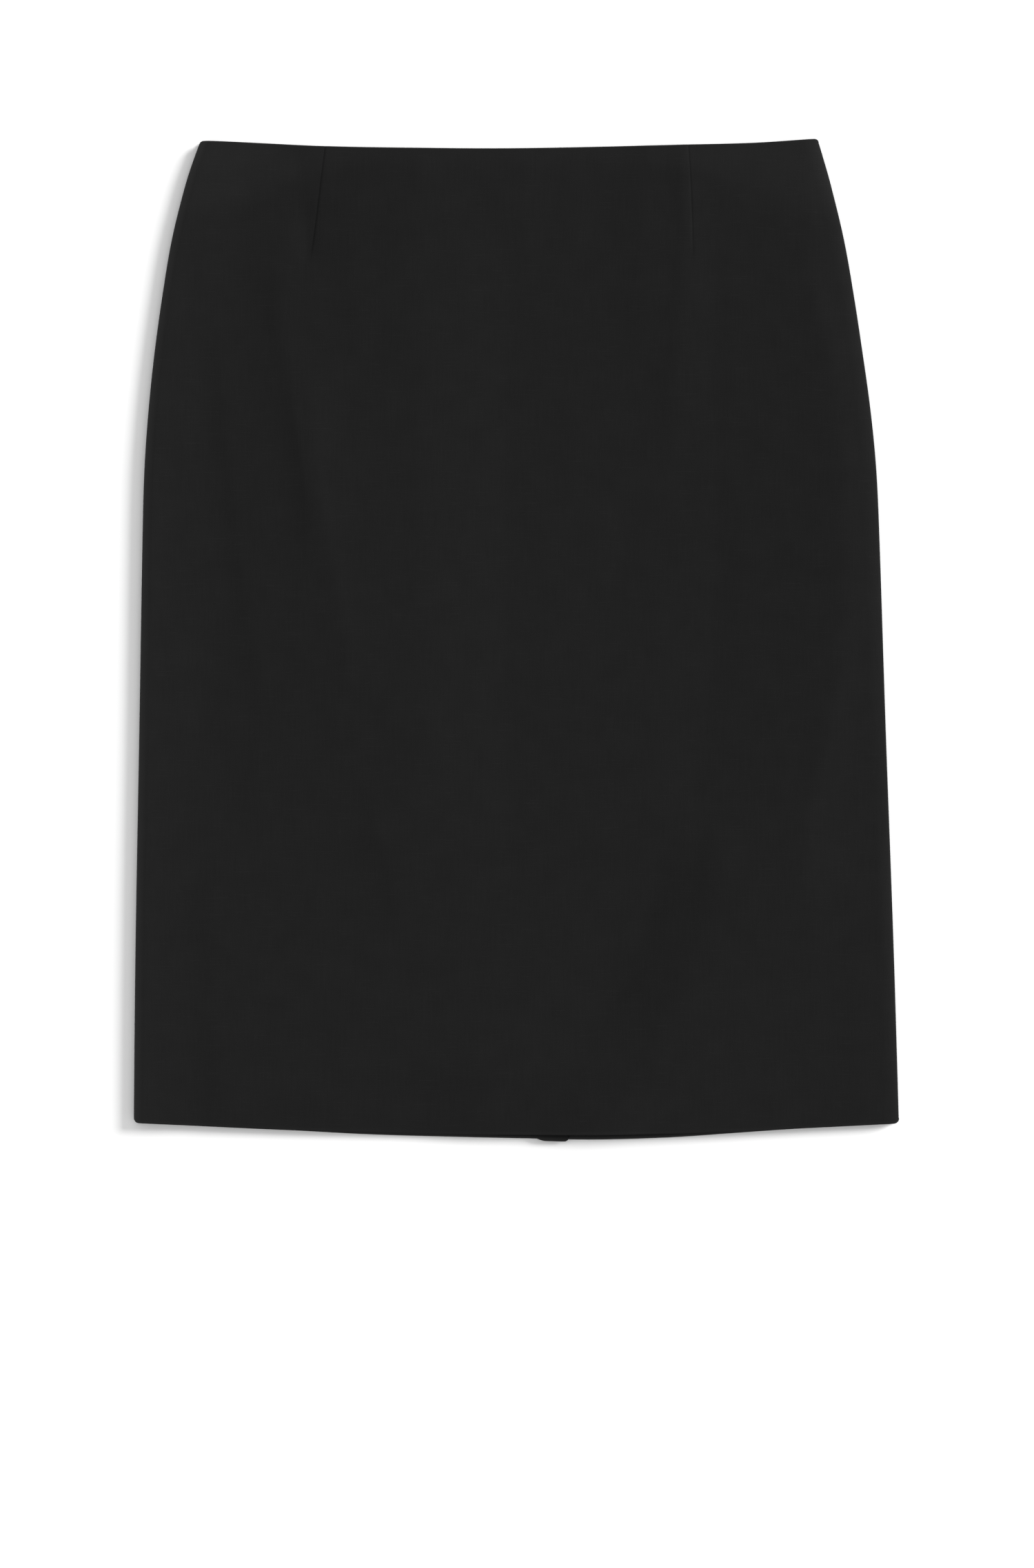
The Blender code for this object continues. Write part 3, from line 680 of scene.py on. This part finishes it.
def wovenMaterial(name, look):
    material, tree, shader = newMaterial(name)
    place = addNode(tree, "ShaderNodeUVMap", uv_map="flatCut")
    weave = addNode(tree, "ShaderNodeGroup", node_tree=weaveGrain)
    tree.links.new(place.outputs["UV"], weave.inputs["Place"])
    weave.inputs["Threads"].default_value = look["threads"]
    weave.inputs["Pebble"].default_value = look["pebble"]
    weave.inputs["Slub"].default_value = look["slub"]
    tone = addNode(tree, "ShaderNodeMix", data_type="RGBA", clamp_factor=False)
    # the base colour is paled by the painted highlight and darkened by the painted shade
    liftAndPaintedLight = addNode(tree, "ShaderNodeAttribute", attribute_name="liftAndPaintedLight")
    paintedLight = mathNode(tree, "MULTIPLY", liftAndPaintedLight.outputs["Fac"], look["paintedLight"])
    tree.links.new(mathNode(tree, "ADD", weave.outputs["Tint"], paintedLight), tone.inputs["Factor"])
    tone.inputs["A"].default_value = look["dark"]
    tone.inputs["B"].default_value = look["light"]
    tree.links.new(tone.outputs["Result"], shader.inputs["Base Color"])
    bump = addNode(tree, "ShaderNodeBump")
    bump.inputs["Strength"].default_value = look["bump"]
    bump.inputs["Distance"].default_value = look["bumpDepth"]
    tree.links.new(weave.outputs["Height"], bump.inputs["Height"])
    tree.links.new(bump.outputs["Normal"], shader.inputs["Normal"])
    shader.inputs["Roughness"].default_value = look["roughness"]
    shader.inputs["Specular IOR Level"].default_value = look["specular"]
    shader.inputs["Sheen Weight"].default_value = look["sheen"]
    shader.inputs["Sheen Roughness"].default_value = look["sheenRoughness"]
    return material


metalLook = {
    "enamel": (0.012, 0.012, 0.013, 1.0),
    "worn": (0.30, 0.27, 0.22, 1.0),
    "wearStart": 0.56,  # an edge is worn where its pointiness is above this
    "wearGain": 12.0,
    "roughness": 0.34,
    "grain": 1800.0,
    "grainDetail": 3.0,
    "bump": 0.2,
    "bumpDepth": 0.00005,
}


def enamelMaterial(look):
    material, tree, shader = newMaterial("blackEnamel")
    place = addNode(tree, "ShaderNodeTexCoord")
    edges = addNode(tree, "ShaderNodeNewGeometry")
    grain = noiseAt(tree, place.outputs["Object"], look["grain"], detail=look["grainDetail"])
    raised = mathNode(tree, "SUBTRACT", edges.outputs["Pointiness"], look["wearStart"])
    patchy = mathNode(tree, "MULTIPLY", grain, look["wearGain"])
    wear = mathNode(tree, "MULTIPLY", mathNode(tree, "MAXIMUM", raised, 0.0), patchy)
    wear = mathNode(tree, "MINIMUM", wear, 1.0)
    tone = addNode(tree, "ShaderNodeMix", data_type="RGBA")
    tree.links.new(wear, tone.inputs["Factor"])
    tone.inputs["A"].default_value = look["enamel"]
    tone.inputs["B"].default_value = look["worn"]
    tree.links.new(tone.outputs["Result"], shader.inputs["Base Color"])
    tree.links.new(wear, shader.inputs["Metallic"])
    bump = addNode(tree, "ShaderNodeBump")
    bump.inputs["Strength"].default_value = look["bump"]
    bump.inputs["Distance"].default_value = look["bumpDepth"]
    tree.links.new(grain, bump.inputs["Height"])
    tree.links.new(bump.outputs["Normal"], shader.inputs["Normal"])
    shader.inputs["Roughness"].default_value = look["roughness"]
    return material


nylonLook = {
    "dark": (0.004, 0.004, 0.004, 1.0),
    "light": (0.014, 0.014, 0.015, 1.0),
    "cloudScale": 700.0,
    "cloudDetail": 3.0,
    "smooth": 0.3,
    "rough": 0.5,
}


def nylonMaterial(look):
    material, tree, shader = newMaterial("coilNylon")
    place = addNode(tree, "ShaderNodeTexCoord")
    cloud = noiseAt(tree, place.outputs["Object"], look["cloudScale"], detail=look["cloudDetail"])
    tone = addNode(tree, "ShaderNodeMix", data_type="RGBA")
    tree.links.new(cloud, tone.inputs["Factor"])
    tone.inputs["A"].default_value = look["dark"]
    tone.inputs["B"].default_value = look["light"]
    tree.links.new(tone.outputs["Result"], shader.inputs["Base Color"])
    rough = mathNode(tree, "MULTIPLY", cloud, look["rough"] - look["smooth"])
    tree.links.new(mathNode(tree, "ADD", rough, look["smooth"]), shader.inputs["Roughness"])
    return material


coilNylon = nylonMaterial(nylonLook)
crepe = wovenMaterial("blackCrepe", crepeLook)
zipCloth = wovenMaterial("zipTapeWeave", tapeLook)
enamel = enamelMaterial(metalLook)
print("materials ready")

# sheets of cloth with their edges turned in


def turnedEdge(base, shift, normals, row, radius, upwards):
    spot, normal = base[row], normals[row]
    out = np.cross(np.gradient(spot, axis=0), normal)
    out *= np.where((out[:, 1:2] > 0) == upwards, 1.0, -1.0)
    out[:, 2] *= ease(np.abs(spot[:, 2] - cloth["seamHeight"]) / cloth["seamEase"])
    out = unit(out)
    centre = spot - radius * normal
    edge = []
    for k in range(1, cloth["foldSteps"]):
        turn = math.pi * k / cloth["foldSteps"]
        around = math.cos(turn) * normal + math.sin(turn) * out
        edge.append(centre + radius * around + shift[row] * (1 + math.cos(turn)) / 2)
    return edge


def wholeSheet(base, shift, normals, radius, hemCount, waistCount):  # counts of the rows turned in
    rows = list(base + shift)
    inner = base - 2 * radius * normals
    if hemCount:
        rows = [*inner[hemCount - 1 :: -1], *turnedEdge(base, shift, normals, 0, radius, False)[::-1], *rows]
    if waistCount:
        rows = [*rows, *turnedEdge(base, shift, normals, -1, radius, True), *inner[: -waistCount - 1 : -1]]
    return np.array(rows)


def runningLength(points, axis, middle):
    steps = np.linalg.norm(np.diff(points, axis=axis), axis=2)
    zero = np.zeros_like(np.take(steps, [0], axis))
    total = np.concatenate([zero, np.cumsum(steps, axis=axis)], axis)
    return total - np.take(total, [middle], axis)


def sheetMesh(name, points, liftAndPaintedLight, flip, thick, material):
    rows, across = points.shape[:2]
    corner = np.arange(rows * across).reshape(rows, across)
    loops = [corner[:-1, :-1], corner[:-1, 1:], corner[1:, 1:], corner[1:, :-1]]
    faces = np.stack([part.ravel() for part in (loops[::-1] if flip else loops)], 1)
    mesh = bpy.data.meshes.new(name)
    mesh.from_pydata((points.reshape(-1, 3) * mm).tolist(), [], faces.tolist())
    middleRow, middleColumn = rows // 2, across // 2
    u = points[:, [middleColumn], 0] + runningLength(points, 1, middleColumn)
    v = points[[middleRow], :, 1] + runningLength(points, 0, middleRow)
    flat = np.stack([u, v], 2).reshape(-1, 2) * mm
    layer = mesh.uv_layers.new(name="flatCut")
    layer.uv.foreach_set("vector", flat[faces.ravel()].astype(np.float32).ravel())
    # painted light and shade, kept on the points for the material
    paintedLight = mesh.attributes.new("liftAndPaintedLight", "FLOAT", "POINT")
    paintedLight.data.foreach_set("value", liftAndPaintedLight.ravel().astype(np.float32))
    mesh.shade_smooth()
    mesh.materials.append(material)
    obj = bpy.data.objects.new(name, mesh)
    bpy.context.scene.collection.objects.link(obj)
    shell = obj.modifiers.new("thickness", "SOLIDIFY")
    shell.thickness = thick * mm
    shell.offset = -1
    shell.use_quality_normals = True
    return obj


def sheetSize(points):  # what it would take to cut it, in metres: its width, length and area
    across = np.linalg.norm(np.diff(points, axis=1), axis=2)
    along = np.linalg.norm(np.diff(points, axis=0), axis=2)
    a, b = points[1:, 1:] - points[:-1, :-1], points[1:, :-1] - points[:-1, 1:]
    area = np.linalg.norm(np.cross(a, b), axis=2).sum() / 2
    return across.sum(1).max() * mm, along.sum(0).max() * mm, area * mm * mm


# how many rows the turned-in edges cover
hemTurnRows = sum(height < cloth["hemTurn"] - cloth["fold"] for height in hemRows)
waistTurnRows = sum(drop < cloth["waistTurn"] - cloth["fold"] for drop in waistRows)


def lipTurn(lip):  # how far the end of a curl lies back from the seam line
    return cloth["curl"] * (1 - math.sqrt(1 - lip**2))


def lipReach(lip):  # and how far towards the piece that it is sewn to
    return lip * (cloth["curl"] - cloth["seamGap"] / 2)


def makeFront():
    columns = frontColumns()
    x, y = panelGrid(columns, frontLine)
    z = frontHeight(x, y)
    start = layers["frontStart"]
    shift = np.zeros((*x.shape, 3))
    for j, (_, lip, angle) in enumerate(columns):
        if angle is not None:
            z[:, j] = start + (z[:, j] - start) * math.sin(angle) - lipReach(lip)
            side = -1 if j < len(columns) / 2 else 1
            shift[:, j, 0] = -side * lipTurn(lip)
    base = np.stack([x, y, z], 2)
    points = wholeSheet(base, shift, normalsOf(base), cloth["fold"], hemTurnRows, waistTurnRows)
    # painted highlight along the front's edges and painted shade at its darts
    liftAndPaintedLight = paintedEdgeLightAt(frontLine, points[..., 0], points[..., 1])
    panel = sheetMesh("frontPanel", points, liftAndPaintedLight, False, cloth["thick"], crepe)
    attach(panel, "skirt")
    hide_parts("front")


def makeBack(name, node, side):
    columns = backColumns(side)
    x, y = panelGrid(columns, backLine)
    z = backHeight(x, y)
    roll = layers["backRoll"]
    shift = np.zeros((*x.shape, 3))
    for j, (_, lip, angle) in enumerate(columns):
        if angle is not None:
            z[:, j] += roll * (1 - math.sin(angle)) + lipReach(lip)
            shift[:, j, 0] = -side * lipTurn(lip)
        elif lip:
            shift[:, j, 2] = lipTurn(lip)
    base = np.stack([x, y, z], 2)
    points = wholeSheet(base, shift, -normalsOf(base), cloth["fold"], hemTurnRows, waistTurnRows)
    # painted highlight along the back's edges and hem, and painted shade at its darts
    liftAndPaintedLight = paintedEdgeLightAt(backLine, points[..., 0], points[..., 1])
    panel = sheetMesh(name, points, liftAndPaintedLight, True, cloth["thick"], crepe)
    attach(panel, "skirt")
    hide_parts(node)


makeFront()
makeBack("backLeftPanel", "back_left", 1)
makeBack("backRightPanel", "back_right", -1)
print("panels ready")

underlap = {
    "cloth": 0.5,
    "fold": 0.55,
    "hemRows": [0, 0.6, 1.5, 3, 5, 8, 12, 16, 20, 25, 30, 35.4],  # heights that its turned hem covers
    "rowsFrom": 0.2,  # share of its length at which the even rows begin
    "rows": 40,
    "length": 198.0,
    "columnsTo": 0.93,  # share of its width at which the even columns end
    "columns": 24,
    "edgeColumns": [0.955, 0.975, 0.988, 0.996, 1.0],
    "slant": 18.0,  # of its upper end
    "drop": 1.25,  # of its free corner below the back's hem
    "tuck": 1.2,  # of its sewn corner above the back's hem
    "swing": (0.46, 0.68),
    "corner": 2.5,
    # painted highlight on the fold of its hem, which lies in the front's shadow
    "paintedLight": 1.3,
    "paintedLightReach": 4.0,
    "rest": 1.45,  # height of its underside
    "bandRest": 2.25,  # over the back's turned-up hem
    "bandSoft": 16.0,
}


def makeUnderlap(u):
    width = ventPlace["sewn"] + ventPlace["free"]
    shares = np.concatenate([np.linspace(0, u["columnsTo"], u["columns"]), u["edgeColumns"]])[None, :]
    aside = shares * width - ventPlace["sewn"]
    start, end = u["swing"]
    low = hemAt(backLine, centreX(centreHem) + aside, np.full_like(aside, centreHem))
    low = low + u["tuck"] - (u["drop"] + u["tuck"]) * ease((shares - start) / (end - start))
    low = low + cutBack((1 - shares) * width, u["corner"]) + u["fold"]
    high = ventTop - u["slant"] * shares
    ups = np.concatenate([np.array(u["hemRows"]) / u["length"], np.linspace(u["rowsFrom"], 1, u["rows"])])
    y = low + ups[:, None] * (high - low)
    x = centreX(y) + aside
    over = plateau(y - hemAt(backLine, x, y), ventPlace["below"], cloth["hemTurn"], u["bandSoft"])
    z = u["rest"] + (u["bandRest"] - u["rest"]) * over
    base = np.stack([x, y, z], 2)
    points = wholeSheet(base, np.zeros_like(base), -normalsOf(base), u["fold"], len(u["hemRows"]), 0)
    up = points[..., 1] - hemAt(backLine, points[..., 0], points[..., 1])
    # painted highlight along its hem's fold
    liftAndPaintedLight = u["paintedLight"] * ease(1 - up / u["paintedLightReach"])
    piece = sheetMesh("ventUnderlap", points, liftAndPaintedLight, True, u["cloth"], crepe)
    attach(piece, "skirt")
    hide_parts("vent_underlap")
    width, length, area = sheetSize(points)


makeUnderlap(underlap)
print("vent ready")

# the concealed zip: tapes and coil inside the centre back seam, the slider, and its pull on the outside

zipTapes = {
    "half": 10.0,
    # shares of the half at which its columns lie
    "columns": [1, 0.97, 0.92, 0.8, 0.65, 0.5, 0.4, 0.32, 0.25, 0.19, 0.13, 0.07, 0.025],
    "top": 4.9,  # below the slider's middle
    "thick": 0.38,
    "gap": 0.12,
    "seamRise": 0.95,  # over the turned-in edges of the seam
    "seamHalf": 1.7,
    "selvedge": 0.12,  # height of the thicker line along each edge
    "selvedgeIn": 0.6,
    "selvedgeHalf": 0.5,
    "rowStep": 1.3,
}

zipCoil = {
    "pitch": 0.72,
    "reach": 1.75,  # of a tooth from the middle
    "past": 0.45,  # how far it crosses the middle
    "radius": 0.27,
    "sides": 6,
    # rings of a tooth: distance from its inner or outer end, then share of the radius
    "innerRings": [(0.0, 0.45), (0.18, 0.92)],
    "outerRings": [(-0.25, 1.0), (0.0, 0.5)],
    "start": 4.0,  # above the tapes' lower end
    "gap": 0.02,  # over the tapes
    "smoothAngle": 50.0,
}

zipSlider = {
    "low": 3.6,
    "high": 5.6,
    "plate": 0.5,
    "bevel": 0.14,
    # height from its middle, then half its width
    "body": [(-4.4, 1.7), (-3.6, 2.1), (-1.2, 2.25), (0.8, 2.6), (2.6, 3.1), (3.8, 3.1), (4.4, 2.6)],
    "notch": [(4.4, 1.0), (3.5, 0.2)],  # between the two channels at the top
    "post": [(1.0, 0.35), (2.4, 0.75), (3.2, 0.675), (3.45, 0.3)],
    "rail": 0.55,
    "railRise": 0.8,
    "railSink": 0.1,  # into the plate, so that no gap shows
    "sink": 0.2,  # of the post and the bridge into the plates
    "bridgeHalf": 2.0,
    "bridgeRadius": 0.34,
    "bridgeMiddle": 2.2,
    "bridgeLow": 0.5,
    "bridgeBend": 0.75,
    "smoothAngle": 40.0,
}

zipPull = {
    "height": 1.45,  # of its hinge line
    "thick": 0.7,
    "bevel": 0.16,
    # distance from the hinge line, then half its width
    "outline": [
        (-0.3, 1.7), (0.0, 1.98), (2.0, 2.0), (3.6, 1.95), (7.0, 1.15), (12.0, 1.85), (16.0, 2.5),
        (18.0, 2.5), (20.0, 2.05), (21.4, 1.2), (22.0, 0.4),
    ],
    "stations": [(-0.3, 0.4, 5), (0.8, 20.0, 34), (20.4, 22.0, 9)],  # from, to and how many along its edge
    "eye": (0.32, 3.2, 1.0),  # start and end along the pull, and half its width
    "eyeCorner": 0.5,
    "grip": (14.0, 19.4, 1.15),  # a raised grip near its free end
    "gripRise": 0.12,
    "gripSink": 0.2,
    "gripBevel": 0.1,
    "gripSides": 28,
    "smoothAngle": 40.0,
}


def tapeHeight(x, y):
    s = zipTapes
    lift = cloth["thick"] + s["gap"] + s["seamRise"] * bell(x - centreX(y), s["seamHalf"])
    return backHeight(x, y) + lift


def makeTapes(s):
    top = sliderY - s["top"]
    count = int((top - tapeLow) / s["rowStep"])
    y = np.linspace(tapeLow, top, count)[:, None]
    aside = np.array([*[-share for share in s["columns"]], *s["columns"][::-1]]) * s["half"]
    x = centreX(y) + aside[None, :]
    y = np.repeat(y, len(aside), 1)
    selvedge = s["selvedge"] * bell(np.abs(aside) - s["half"] + s["selvedgeIn"], s["selvedgeHalf"])
    z = tapeHeight(x, y) + selvedge[None, :]
    points = np.stack([x, y, z], 2)
    piece = sheetMesh("zipTapes", points, np.zeros(points.shape[:2]), True, s["thick"], zipCloth)
    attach(piece, "skirt")
    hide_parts("zip_tape")


def tooth(shape, side, middle, z, s):  # a short rounded bar across the tape
    inner = [(along - s["past"], size) for along, size in s["innerRings"]]
    outer = [(along + s["reach"], size) for along, size in s["outerRings"]]
    rings = []
    for along, size in inner + outer:
        ring = []
        for k in range(s["sides"]):
            turn = 2 * math.pi * k / s["sides"]
            at = (side * along, s["radius"] * size * math.cos(turn), s["radius"] * size * math.sin(turn))
            ring.append(shape.verts.new((Vector((centreX(middle), middle, z)) + Vector(at)) * mm))
        rings.append(ring[:: int(side)])
    for near, far in zip(rings, rings[1:]):
        for k in range(s["sides"]):
            shape.faces.new((near[k], near[k - 1], far[k - 1], far[k]))
    shape.faces.new(rings[0])
    shape.faces.new(rings[-1][::-1])


def meshObject(name, shape, material, smoothAngle):
    bmesh.ops.recalc_face_normals(shape, faces=shape.faces)
    mesh = bpy.data.meshes.new(name)
    shape.to_mesh(mesh)
    shape.free()
    mesh.shade_smooth()
    mesh.set_sharp_from_angle(angle=math.radians(smoothAngle))
    mesh.materials.append(material)
    obj = bpy.data.objects.new(name, mesh)
    bpy.context.scene.collection.objects.link(obj)
    return obj


def makeCoil(s):
    shape = bmesh.new()
    low, high = tapeLow + s["start"], sliderY - zipTapes["top"]
    for k in range(int((high - low) / s["pitch"])):
        middle = low + (k + 0.5) * s["pitch"]
        z = float(tapeHeight(centreX(middle), middle)) + zipTapes["thick"] + s["radius"] + s["gap"]
        tooth(shape, -1 if k % 2 else 1, middle, z, s)
    coil = meshObject("zipCoil", shape, coilNylon, s["smoothAngle"])
    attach(coil, "skirt")
    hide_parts("zip_tape")


weldGap = 0.002  # points of a plate or a wire that are this close are one


def addSlab(shape, loops, low, high, bevel):  # an outline, with any holes, as a bevelled plate
    outline = bpy.data.curves.new("outline", "CURVE")
    outline.dimensions = "2D"
    outline.fill_mode = "BOTH"
    outline.extrude = ((high - low) / 2 - bevel) * mm
    outline.bevel_depth = bevel * mm
    outline.bevel_resolution = 2
    outline.offset = -bevel * mm
    for loop in loops:
        spline = outline.splines.new("POLY")
        spline.points.add(len(loop) - 1)
        for point, (x, y) in zip(spline.points, loop):
            point.co = (x * mm, y * mm, 0, 1)
        spline.use_cyclic_u = True
    addCurve(shape, outline, (low + high) / 2 * mm)


def addCurve(shape, curve, lift):
    obj = bpy.data.objects.new("outline", curve)
    bpy.context.scene.collection.objects.link(obj)
    bpy.context.view_layer.update()
    mesh = bpy.data.meshes.new_from_object(obj.evaluated_get(bpy.context.evaluated_depsgraph_get()))
    bpy.data.objects.remove(obj)
    part = bmesh.new()
    part.from_mesh(mesh)
    bmesh.ops.remove_doubles(part, verts=part.verts, dist=weldGap * mm)
    bmesh.ops.translate(part, verts=part.verts, vec=(0, 0, lift))
    part.to_mesh(mesh)
    part.free()
    shape.from_mesh(mesh)
    bpy.data.meshes.remove(mesh)


def mirrored(rows):  # half widths at each height, as a closed outline
    return [(half, y) for y, half in rows] + [(-half, y) for y, half in reversed(rows)]


def addBridge(shape, s):  # the wire loop between the back panels that holds the pull
    bridge = bpy.data.curves.new("bridge", "CURVE")
    bridge.dimensions = "3D"
    bridge.bevel_depth = s["bridgeRadius"] * mm
    bridge.bevel_resolution = 3
    bridge.use_fill_caps = True
    spline = bridge.splines.new("NURBS")
    low, bend, far = s["bridgeLow"], s["bridgeBend"], s["bridgeHalf"]
    leg = [(-far, s["low"] + s["sink"]), (-far, s["bridgeMiddle"]), (-far, low + bend)]
    leg += [(-far, low), (-far + bend, low), (0, low)]
    route = leg + [(-y, z) for y, z in leg[-2::-1]]
    spline.points.add(len(route) - 1)
    for point, (y, z) in zip(spline.points, route):
        point.co = (0, y * mm, z * mm, 1)
    spline.order_u = 3
    spline.use_endpoint_u = True
    addCurve(shape, bridge, 0)


def makeSlider(s):
    shape = bmesh.new()
    body, bottom, top = s["body"], s["low"], s["high"]
    for low, high in ((bottom, bottom + s["plate"]), (top - s["plate"], top)):
        addSlab(shape, [mirrored(body + s["notch"])], low, high, s["bevel"])
    lowRail = (bottom + s["railSink"], bottom + s["railRise"])
    highRail = (top - s["railRise"], top - s["railSink"])
    for side in (-1, 1):
        rail = [(side * half, y) for y, half in body[:-1]]
        rail += [(side * (half - s["rail"]), y) for y, half in reversed(body[:-1])]
        for low, high in (lowRail, highRail):
            addSlab(shape, [rail[::side]], low, high, s["bevel"])
    addSlab(shape, [mirrored(s["post"])], bottom + s["sink"], top - s["sink"], s["bevel"])
    addBridge(shape, s)
    bmesh.ops.translate(shape, verts=shape.verts, vec=Vector((sliderX, sliderY, 0)) * mm)
    slider = meshObject("zipSlider", shape, enamel, s["smoothAngle"])
    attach(slider, "skirt")
    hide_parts("zip_slider")


def makePull(s):
    shape = bmesh.new()
    alongs = np.concatenate([np.linspace(*station) for station in s["stations"]])
    outer = [(-along, float(curveThrough(s["outline"], 1, along))) for along in alongs]
    start, end, half = s["eye"]
    corner = s["eyeCorner"]
    eye = [(-half, -start), (-half, -end + corner), (-half + corner, -end)]
    eye += [(half - corner, -end), (half, -end + corner), (half, -start)]
    thick = s["thick"] / 2
    addSlab(shape, [mirrored(outer), eye], -thick, thick, s["bevel"])
    begin, finish, wide = s["grip"]
    turns = [2 * math.pi * k / s["gripSides"] for k in range(s["gripSides"])]
    grip = [(wide * math.cos(t), -(begin + finish) / 2 + (finish - begin) / 2 * math.sin(t)) for t in turns]
    addSlab(shape, [grip], -thick - s["gripRise"], -thick + s["gripSink"], s["gripBevel"])
    bmesh.ops.translate(shape, verts=shape.verts, vec=Vector((sliderX, sliderY, s["height"])) * mm)
    pull = meshObject("zipPullTab", shape, enamel, s["smoothAngle"])
    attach(pull, "pull")
    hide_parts("zip_pull")


makeTapes(zipTapes)
makeCoil(zipCoil)
makeSlider(zipSlider)
makePull(zipPull)
print("zip ready")
